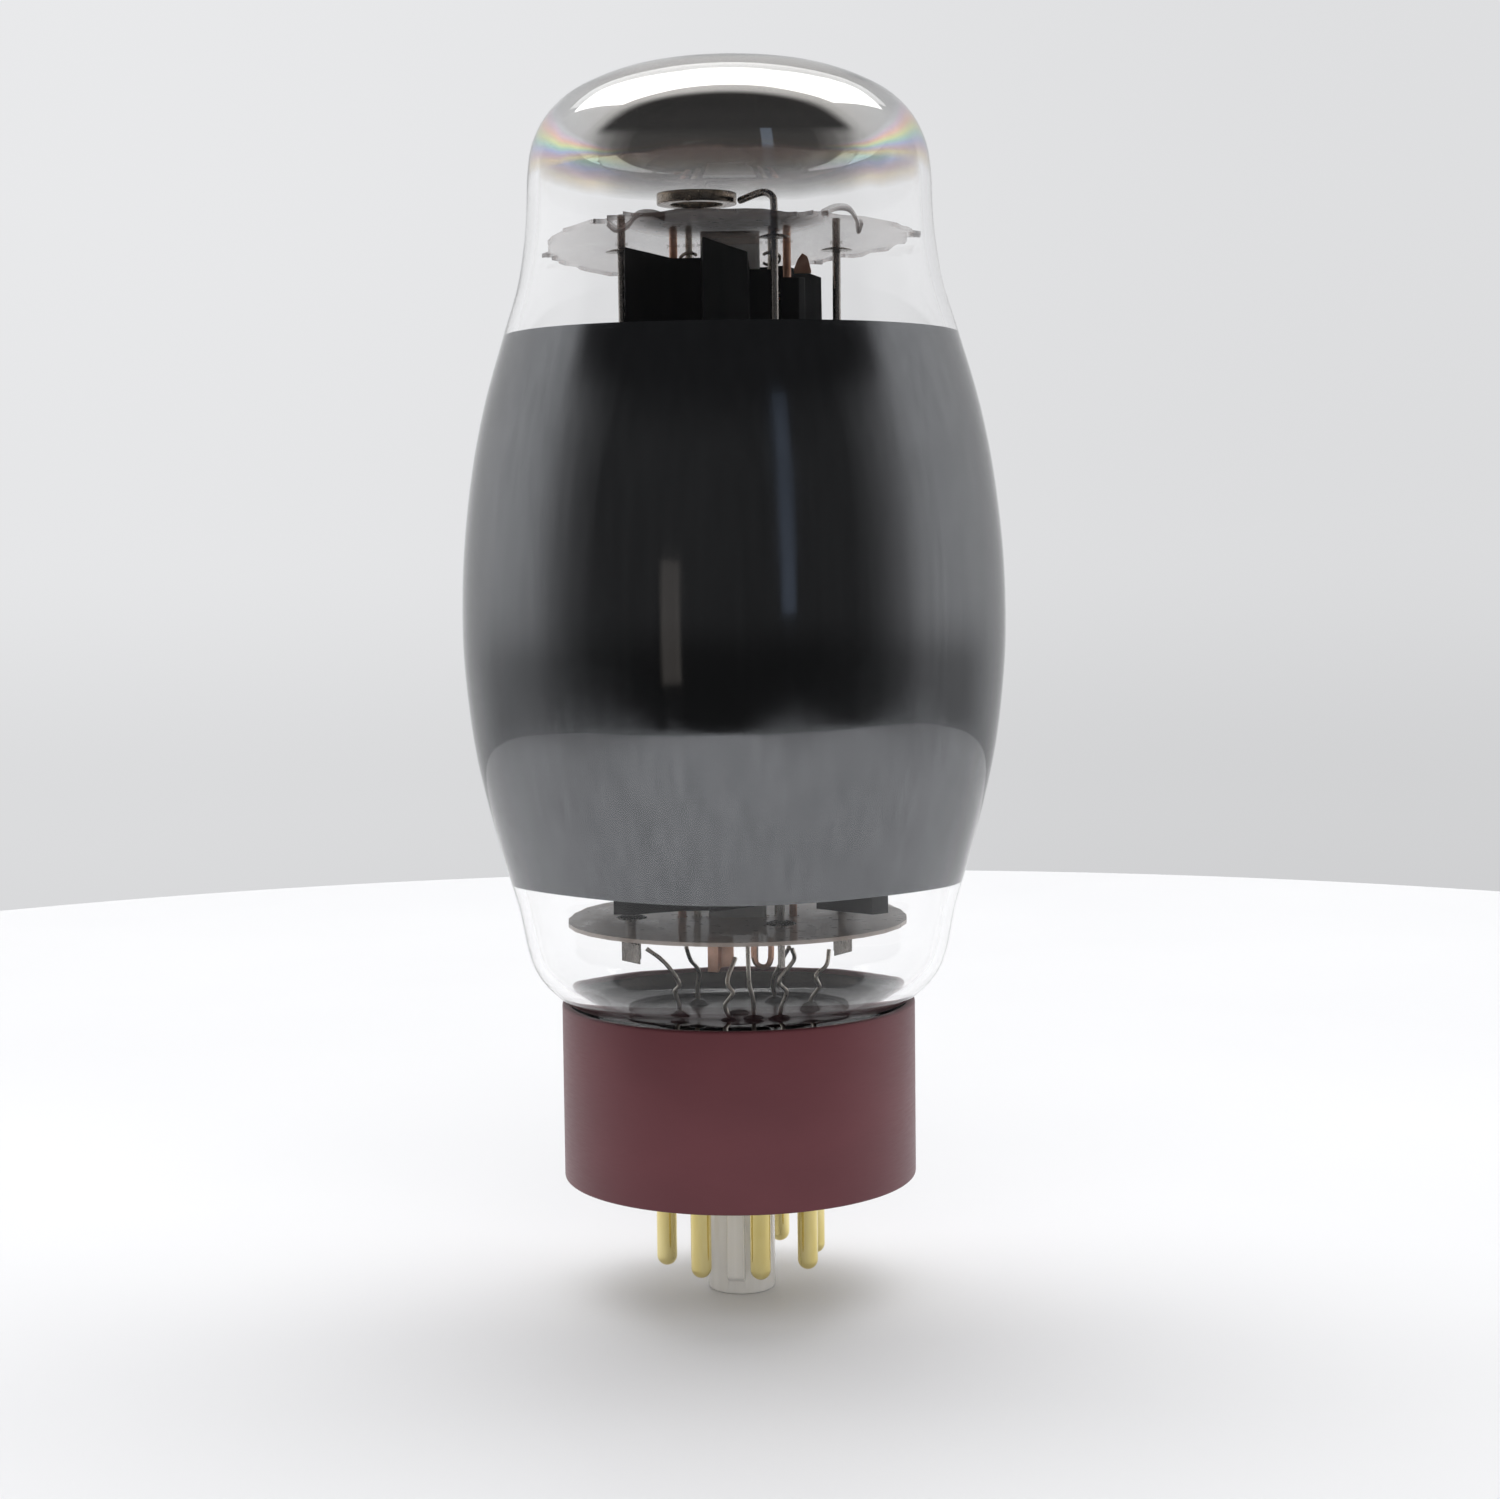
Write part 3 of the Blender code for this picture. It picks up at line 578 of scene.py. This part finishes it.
def make_getter_film(inner):
    """The inside of the dome, lined with a thin closed shell. Its material fades the lower edge out."""
    thickness = 0.08
    face = [(r, z) for r, z in inner if z > FILM_EDGE]
    face.insert(0, (radius_at(inner, FILM_EDGE), FILM_EDGE))
    outside = offset_line(face, -CONTACT)
    inside = offset_line(face, thickness)
    turned("dome_film", outside + inside[::-1], "getter_mirror", "getter_film", sides=ROUND, sharp=60.0)


# ------------------------------------------------------------------- base


def make_base():
    outside, bore, height = 20.0, 19.1, 19.9
    lip_bore, lip = 18.0, 0.5
    profile = [
        (lip_bore, 0.0), (outside, 0.0), (outside, height), (bore, height), (bore, lip), (lip_bore, lip),
    ]
    turned("sleeve", rounded(profile, 0.3), "red_anodised_aluminium", "base_sleeve", sides=ROUND, sharp=60.0)
    cement_radius, foot, brim = 18.95, 9.0, 19.3
    bond_top, under_stem = 18.4, STEM_TOP - 1.8
    bonded = [(r, z) for r, z in offset_line(glass_lines()[0], CONTACT) if z < bond_top]
    cement = [
        (0.0, foot), (cement_radius, foot), (cement_radius, brim), (18.5, 19.5), *reversed(bonded),
        (STEM_RADIUS, under_stem), (0.0, under_stem),
    ]
    turned("cement", cement, "black_cement", "base_cement", sides=ROUND, sharp=50.0)
    make_wafer()
    for node in PINS:
        make_pin(node)


def make_wafer():
    """The insulating disc with its spigot and key, and a hole for each pin."""
    spigot, bore, disc, thickness = 3.85, 2.7, 18.8, 3.4
    foot, under, top = -SPIGOT_LENGTH, WAFER_RECESS, WAFER_RECESS + thickness
    dimple, dimple_depth, floor = 1.5, 0.25, 1.3
    profile = [
        (0.0, foot + dimple_depth), (dimple, foot + dimple_depth), (dimple + 0.4, foot), (spigot, foot),
        (spigot, under), (disc, under), (disc, top), (bore, top), (bore, foot + floor), (0.0, foot + floor),
    ]
    piece = turned("wafer", rounded(profile, 0.35, 4), "white_insulator", "base_wafer", sides=96, sharp=50.0)
    join(piece, mesh_of("key", key_bmesh(foot, under)), "UNION")
    pin_hole = 1.3
    for node in PINS:
        hole = [(0.0, under - 1), (pin_hole, under - 1), (pin_hole, top + 1), (0.0, top + 1)]
        join(piece, mesh_of("hole", turned_bmesh(hole, 32, middle(node))), "DIFFERENCE")


def key_bmesh(foot, under):
    """The key: a rib down the spigot's side, its lower end sloped, its edges broken."""
    half_width, root, face = 1.0, 3.0, 4.9
    root_end, face_end = foot + 1.0, foot + 2.2
    top = under + 0.8             # inside the disc, so that the two join
    angle = math.radians(KEY_ANGLE)
    out = Vector((math.sin(angle), -math.cos(angle), 0))
    across = Vector((math.cos(angle), math.sin(angle), 0))
    bm = bmesh.new()
    low, high = [], []
    corners = ((-1, root, root_end), (1, root, root_end), (1, face, face_end), (-1, face, face_end))
    for side, reach, end in corners:
        place = out * reach + across * side * half_width
        low.append(bm.verts.new(point(place.x, place.y, end)))
        high.append(bm.verts.new(point(place.x, place.y, top)))
    bm.faces.new(low)
    bm.faces.new(high)
    for i in range(4):
        bm.faces.new((low[i], low[(i + 1) % 4], high[(i + 1) % 4], high[i]))
    bmesh.ops.bevel(bm, geom=list(bm.edges), offset=0.22 * MM, segments=3, affect="EDGES", profile=0.5)
    return bm


def join(piece, mesh, operation):
    """Applies a Boolean and throws the tool away."""
    tool = bpy.data.objects.new("tool", mesh)
    bpy.context.scene.collection.objects.link(tool)
    change = piece.modifiers.new("join", "BOOLEAN")
    change.operation = operation
    change.object = tool
    graph = bpy.context.evaluated_depsgraph_get()
    result = bpy.data.meshes.new_from_object(piece.evaluated_get(graph))
    piece.modifiers.remove(change)
    piece.data = result
    bpy.data.objects.remove(tool)


def make_pin(node):
    """A hollow pin with a round tip and a slightly wider neck in the wafer."""
    r, neck_radius, bore = PIN_RADIUS, PIN_RADIUS + 0.12, 0.72
    under, top = WAFER_RECESS, WAFER_RECESS + 4.2
    tip = under - PIN_LENGTH
    cap = []
    for degrees in range(0, 91, 9):
        turn = math.radians(degrees)
        cap.append((r * math.sin(turn), tip + r - r * math.cos(turn)))
    neck = [
        (r, under - 0.6), (neck_radius, under - 0.35), (neck_radius, top), (bore, top), (bore, tip + 2.5),
        (0.0, tip + 2.0),
    ]
    turned(f"contact_{node}", cap + neck, "gold_plate", node, sides=FINE, centre=middle(node), sharp=50.0)


# -------------------------------------------------------------- electrodes


def make_internals():
    for node in frame["nodes"]:
        if node in ("left_anode_rod", "right_anode_rod", "rear_support_rod"):
            straight_rod(node, "support_steel")
        elif node.startswith("screen_grid_") and node.endswith("_rod"):
            straight_rod(node, "copper")
        elif node.startswith("control_grid_") and node.endswith("_rod"):
            straight_rod(node, "nickel")
        elif node.startswith("anode_") or node.endswith(("_anode_strap", "_beam_plate")):
            bevelled(node, f"{node}_sheet", "carbonised_nickel", 0.08)
        elif node in ("screen_radiator", "cathode_strap"):
            bevelled(node, f"{node}_sheet", "copper", 0.05)
        elif node.endswith("_clip"):
            bevelled(node, f"{node}_sheet", "support_steel", 0.05)
        elif node.endswith("_collar"):
            make_collar(node)
        elif node == "bottom_mica":
            bevelled(node, "lower_mica_sheet", "mica", 0.08)
    make_upper_mica()
    make_front_rod()
    make_leads()
    make_stem()
    make_exhaust_tube()
    make_getter_ring()


def straight_rod(node, look):
    """A CAD rod, properly round, with its ends broken."""
    low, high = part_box(node)
    radius = (high[0] - low[0]) / 2 / MM
    foot, head = (low[2] - SEAT) / MM, (high[2] - SEAT) / MM
    profile = [(0.0, foot), (radius, foot), (radius, head), (0.0, head)]
    turned(f"{node}_wire", rounded(profile, 0.12), look, node, sides=24, centre=middle(node))


def make_collar(node):
    """A thin washer pushed on to a rod."""
    low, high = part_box(node)
    rim = (high[0] - low[0]) / 2 / MM
    bore = rim - 1.25
    foot, head = (low[2] - SEAT) / MM, (high[2] - SEAT) / MM
    profile = [(bore, foot), (rim, foot), (rim, foot + 0.12), (bore + 0.5, head), (bore, head)]
    turned(f"{node}_washer", rounded(profile, 0.06), "support_steel", node, sides=32, centre=middle(node))


def wire_piece(name, points, radius, look, *nodes):
    """A round wire along points given in millimetres."""
    curve = bpy.data.curves.new(name, "CURVE")
    curve.dimensions = "3D"
    curve.bevel_depth = radius * MM
    curve.bevel_resolution = 4
    curve.use_fill_caps = True
    spline = curve.splines.new("POLY")
    spline.points.add(len(points) - 1)
    for place, place_mm in zip(spline.points, points):
        place.co = (*point(*place_mm), 1.0)
    guide = bpy.data.objects.new(name, curve)
    bpy.context.scene.collection.objects.link(guide)
    graph = bpy.context.evaluated_depsgraph_get()
    mesh = bpy.data.meshes.new_from_object(guide.evaluated_get(graph))
    bpy.data.objects.remove(guide)
    add_piece(name, mesh, look, *nodes, sharp=60.0)


def make_front_rod():
    """The rod that carries the getter ring: it bends over at its top and runs in to the ring."""
    x, y = 4.8, -8.0
    foot = (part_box("front_support_rod")[0][2] - SEAT) / MM
    h = GETTER_HEIGHT
    bend = [
        (x, y, h - 1.0), (x - 0.12, y + 0.12, h - 0.2), (x - 0.7, y + 0.7, h + 0.35),
        (x - 1.6, y + 1.6, h + 0.45), (1.2, -3.1, h + 0.1),
    ]
    path = [(x, y, foot), *catmull_rom(bend, 8)]
    wire_piece("front_support_wire", path, 0.4, "support_steel", "front_support_rod")


def make_leads():
    """Each lead runs from inside its pin, up through its bead in the stem and on by its kinks."""
    in_pin, over_pin = -6.0, 8.5
    for number, (bead, *kinks) in LEAD_ROUTES.items():
        px, py = middle(f"pin_{number}")
        points = [(px, py, over_pin), (*bead, 12.4), (*bead, 14.6), (*bead, STEM_TOP + 1.4), *kinks]
        path = [(px, py, in_pin), *catmull_rom(points, 8)]
        wire_piece(f"lead_{number}_wire", path, LEAD_RADIUS, "nickel", f"lead_{number}")


def make_stem():
    """The glass button, with a bead round each lead."""
    low, hole = STEM_TOP - 1.9, 1.3
    lead_hole = LEAD_RADIUS + 0.02
    profile = [(hole, low), (STEM_RADIUS, low), (STEM_RADIUS, STEM_TOP), (hole, STEM_TOP)]
    piece = turned("stem_button", rounded(profile, 0.5), "dark_button", "glass_stem", sides=72)
    for bead, *_ in LEAD_ROUTES.values():
        hump = [
            (0.0, STEM_TOP - 0.6), (1.5, STEM_TOP - 0.6), (1.3, STEM_TOP + 0.1), (0.9, STEM_TOP + 0.8),
            (0.5, STEM_TOP + 1.1), (0.0, STEM_TOP + 1.1),
        ]
        bore = [(0.0, low - 1), (lead_hole, low - 1), (lead_hole, STEM_TOP + 2), (0.0, STEM_TOP + 2)]
        join(piece, mesh_of("bead", turned_bmesh(hump, 24, bead)), "UNION")
        join(piece, mesh_of("bore", turned_bmesh(bore, 16, bead)), "DIFFERENCE")
    piece.data.shade_smooth()
    piece.data.set_sharp_from_angle(angle=math.radians(45))


def make_exhaust_tube():
    """The tube that the bulb was pumped through, sealed off to a point at its lower end."""
    top, tip = STEM_TOP - 2.2, -9.0
    outside, bore = 2.1, 1.3
    profile = [
        (0.0, tip), (1.2, tip + 0.5), (outside, tip + 2.4), (outside, top), (bore, top), (bore, tip + 3.2),
        (0.6, tip + 2.2), (0.0, tip + 2.0),
    ]
    turned("exhaust_tube_glass", rounded(profile, 0.3), "clear_glass", "exhaust_tube", sides=FINE)


def make_upper_mica():
    """The askew upper sheet, a little warped, its rim ragged, with two curled tabs at the front."""
    bm = node_bmesh("top_mica")
    bmesh.ops.triangulate(bm, faces=bm.faces)
    bmesh.ops.subdivide_edges(bm, edges=bm.edges, cuts=2, use_grid_fill=True)
    teeth_from, deepest_nick = 19.8, 0.06     # radius where the teeth begin, and their wear as a share
    flat_within, rim_wave, twist = 14.0, 0.5, 0.0022
    rng = random.Random(8)
    nicks = [(rng.uniform(0.10, 0.22), rng.randint(5, 23), rng.uniform(0, 6.3)) for _ in range(5)]
    for vert in bm.verts:
        x, y = vert.co.x / MM, vert.co.y / MM
        angle, radius = math.atan2(y, x), math.hypot(x, y)
        ripple = sum(a * math.sin(k * angle + p) for a, k, p in nicks)
        if radius > teeth_from:
            shrink = 1.0 - deepest_nick * max(0.0, ripple)
            vert.co.x *= shrink
            vert.co.y *= shrink
        near_rim = max(0.0, (radius - flat_within) / 7.0) ** 2
        vert.co.z += (twist * x * y + rim_wave * near_rim * ripple) * MM
    add_piece("upper_mica_sheet", mesh_of("upper_mica_sheet", bm), "mica", "top_mica", sharp=30.0)
    curls = {
        "left": (
            (-12.5, -15.6, 105.1), (-11.6, -16.4, 104.3), (-10.4, -16.9, 104.6), (-9.4, -17.0, 105.7),
            (-8.0, -16.6, 105.9), (-6.6, -16.4, 105.5),
        ),
        "right": (
            (9.6, -16.4, 105.7), (11.0, -16.4, 106.3), (12.3, -16.2, 106.2), (13.1, -15.7, 105.2),
            (13.3, -15.3, 104.0), (13.7, -14.8, 105.0),
        ),
    }
    for side, path in curls.items():
        ribbon(f"{side}_mica_curl", catmull_rom(path, 6), (0.0, 1.8, 0.7), 0.3, "mica")


def ribbon(name, path, across, thickness, look):
    """A narrow strip of sheet along a path. Its width runs along across."""
    wide = Vector(across)
    bm = bmesh.new()
    rows = []
    for i, place in enumerate(path):
        forward = (path[min(i + 1, len(path) - 1)] - path[max(i - 1, 0)]).normalized()
        up = forward.cross(wide).normalized() * thickness / 2
        corners = (place + wide / 2 + up, place - wide / 2 + up, place - wide / 2 - up, place + wide / 2 - up)
        rows.append([bm.verts.new(point(*corner)) for corner in corners])
    for a, b in zip(rows, rows[1:]):
        for i in range(4):
            bm.faces.new((a[i], b[i], b[(i + 1) % 4], a[(i + 1) % 4]))
    bm.faces.new(rows[0])
    bm.faces.new(rows[-1])
    add_piece(name, mesh_of(name, bm), look, sharp=50.0)


def make_getter_ring():
    """A ring-shaped channel, open at its top."""
    foot = (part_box("getter_ring")[0][2] - SEAT) / MM
    outer, inner, wall = 4.4, 2.9, 0.18
    outer_lip, inner_lip, floor = foot + 1.2, foot + 1.0, foot + 0.2
    profile = [
        (inner, foot), (outer, foot), (outer, outer_lip), (outer - wall, outer_lip), (outer - wall, floor),
        (inner + wall, floor), (inner + wall, inner_lip), (inner, inner_lip),
    ]
    ring = turned(
        "getter_channel", rounded(profile, 0.12), "getter_bronze", "getter_ring", sides=96,
        centre=middle("getter_ring"), sharp=50.0,
    )


def finish_kept_nodes():
    """Gives each CAD node the material of its slot, which shows where no finer piece replaces the node."""
    for entry in frame["record"]["subparts"]:
        for slot in frame["nodes"][entry["node"]].material_slots:
            slot.material = looks[entry["material_slot"]]


# ------------------------------------------------- floor, light and camera


def make_floor():
    """An oval pale table with a well rounded edge."""
    half_width, half_depth, centre = 314.0, 306.0, (5.0, 68.0)
    edge = 12.0
    top = -SEAT / MM
    under = top - 4 * edge
    profile = [(0.0, top), (half_depth, top), (half_depth, under), (0.0, under)]
    mesh = mesh_of("floor", turned_bmesh(rounded(profile, edge, 8), 256))
    widened = Matrix.Scale(half_width / half_depth, 4, (1, 0, 0))
    mesh.transform(Matrix.Translation((centre[0] * MM, centre[1] * MM, 0.0)) @ widened)
    floor = bpy.data.objects.new("floor", mesh)
    bpy.context.scene.collection.objects.link(floor)
    mesh.shade_smooth()
    made, tree, shader = new_material("pale_table")
    clouds = noise(tree, (0.01, 0.01, 0.01), 3.0)
    set_sockets(shader, {
        "Base Color": between(tree, clouds, (0.77, 0.77, 0.78), (0.80, 0.80, 0.805)),
        "Roughness": 0.5, "Specular IOR Level": 0.2,
    })
    mesh.materials.append(made)


def grey(tree, value, *stops):
    """A grey level read off stops of (value, level). The values run from -1 to 1."""
    places = [((place + 1.0) / 2.0, (level, level, level)) for place, level in stops]
    return read_off(tree, rescale(tree, value, -1.0, 1.0), places, "EASE")


def product(tree, *colours):
    result = colours[0]
    for colour in colours[1:]:
        result = mix(tree, 1.0, result, colour, blend="MULTIPLY")
    return result


def make_world():
    """A pale room. It is bright behind and at the sides, dim in front, and dim low down at the sides."""
    world = bpy.data.worlds.new("room")
    bpy.context.scene.world = world
    world.use_nodes = True
    tree = world.node_tree
    direction = tree.nodes.new("ShaderNodeTexCoord").outputs["Generated"]
    to_right, to_back, upward = (along(tree, axis, direction) for axis in "XYZ")
    behind = measure(tree, "DOT_PRODUCT", direction, (0.05, 0.999, 0.0))
    depth = grey(
        tree, behind, (-1.0, 0.085), (-0.52, 0.092), (-0.48, 0.14), (-0.355, 0.22), (-0.24, 0.36),
        (0.034, 0.84), (0.16, 0.98), (0.5, 1.0), (0.9, 0.8), (1.0, 0.8),
    )
    height = grey(
        tree, upward, (-1.0, 0.45), (-0.22, 0.62), (-0.10, 0.70), (0.0, 0.78), (0.14, 0.80), (0.60, 0.86),
        (1.0, 1.0),
    )
    across = grey(tree, to_right, (-1.0, 1.0), (-0.28, 1.02), (0.28, 0.92), (1.0, 0.96))
    low = grey(tree, upward, (-1.0, 1.0), (-0.12, 1.0), (0.02, 0.0), (1.0, 0.0))
    aside = grey(tree, to_back, (-1.0, 1.0), (0.45, 1.0), (0.85, 0.0), (1.0, 0.0))
    dim = between(tree, product(tree, low, aside), 1.0, 0.5)
    room = product(tree, depth, height, across, dim)
    # The ceiling in front of the tube is unlit
    overhead = grey(tree, upward, (-1.0, 0.0), (0.36, 0.0), (0.55, 1.0), (1.0, 1.0))
    ahead = grey(tree, behind, (-1.0, 1.0), (-0.16, 1.0), (0.04, 0.0), (1.0, 0.0))
    unlit = mix(tree, product(tree, overhead, ahead), room, (0.040, 0.040, 0.041))
    cool = (0.995, 1.0, 1.015)
    background = {"Color": mix(tree, 1.0, unlit, cool, blend="MULTIPLY"), "Strength": 1.25}
    set_sockets(tree.nodes["Background"], background)


def add_area(name, place, target, size, power, colour=(1.0, 1.0, 1.0), mirrored=True):
    light = bpy.data.lights.new(name, "AREA")
    light.shape = "RECTANGLE"
    light.size, light.size_y = size
    light.energy = power
    light.color = colour
    lamp = bpy.data.objects.new(name, light)
    lamp.visible_camera = False
    lamp.visible_glossy = mirrored
    lamp.visible_transmission = mirrored
    lamp.location = place
    lamp.rotation_euler = (Vector(target) - Vector(place)).to_track_quat("-Z", "Y").to_euler()
    bpy.context.scene.collection.objects.link(lamp)


def make_lights():
    """A wide soft panel above and behind, two soft fills from the front, a cool window and a warm card."""
    centre = (0.0, 0.0, 0.05)
    add_area("ceiling_panel", (0.0, 0.42, 0.95), centre, (1.5, 0.66), 7.6)
    add_area("high_fill", (0.05, -0.55, 0.85), centre, (0.9, 0.6), 2.9, mirrored=False)
    add_area("low_fill", (0.10, -1.20, 0.25), centre, (1.0, 0.4), 3.2, mirrored=False)
    add_area("window", (0.55, -1.30, 0.46), centre, (0.16, 0.80), 0.09, (0.55, 0.72, 1.0))
    add_area("warm_card", (-0.215, -0.45, 0.06), centre, (0.07, 0.17), 0.007, (1.0, 0.90, 0.80))


def make_camera():
    camera = bpy.data.cameras.new("camera")
    camera.lens = 61.73
    camera.sensor_width = 36.0
    camera.clip_start = 0.01
    camera.clip_end = 50.0
    holder = bpy.data.objects.new("camera", camera)
    holder.location = (1.60 * MM, -289.03 * MM, SEAT + 72.54 * MM)
    pitch, roll = math.radians(4.806), math.radians(-0.64)
    turn = Matrix.Rotation(math.radians(90) - pitch, 3, "X") @ Matrix.Rotation(roll, 3, "Z")
    holder.rotation_euler = turn.to_euler()
    bpy.context.scene.collection.objects.link(holder)
    bpy.context.scene.camera = holder


bpy.context.scene.view_settings.view_transform = "Standard"
looks = make_materials()
make_glass()
make_base()
make_internals()
finish_kept_nodes()
make_floor()
make_world()
make_lights()
make_camera()
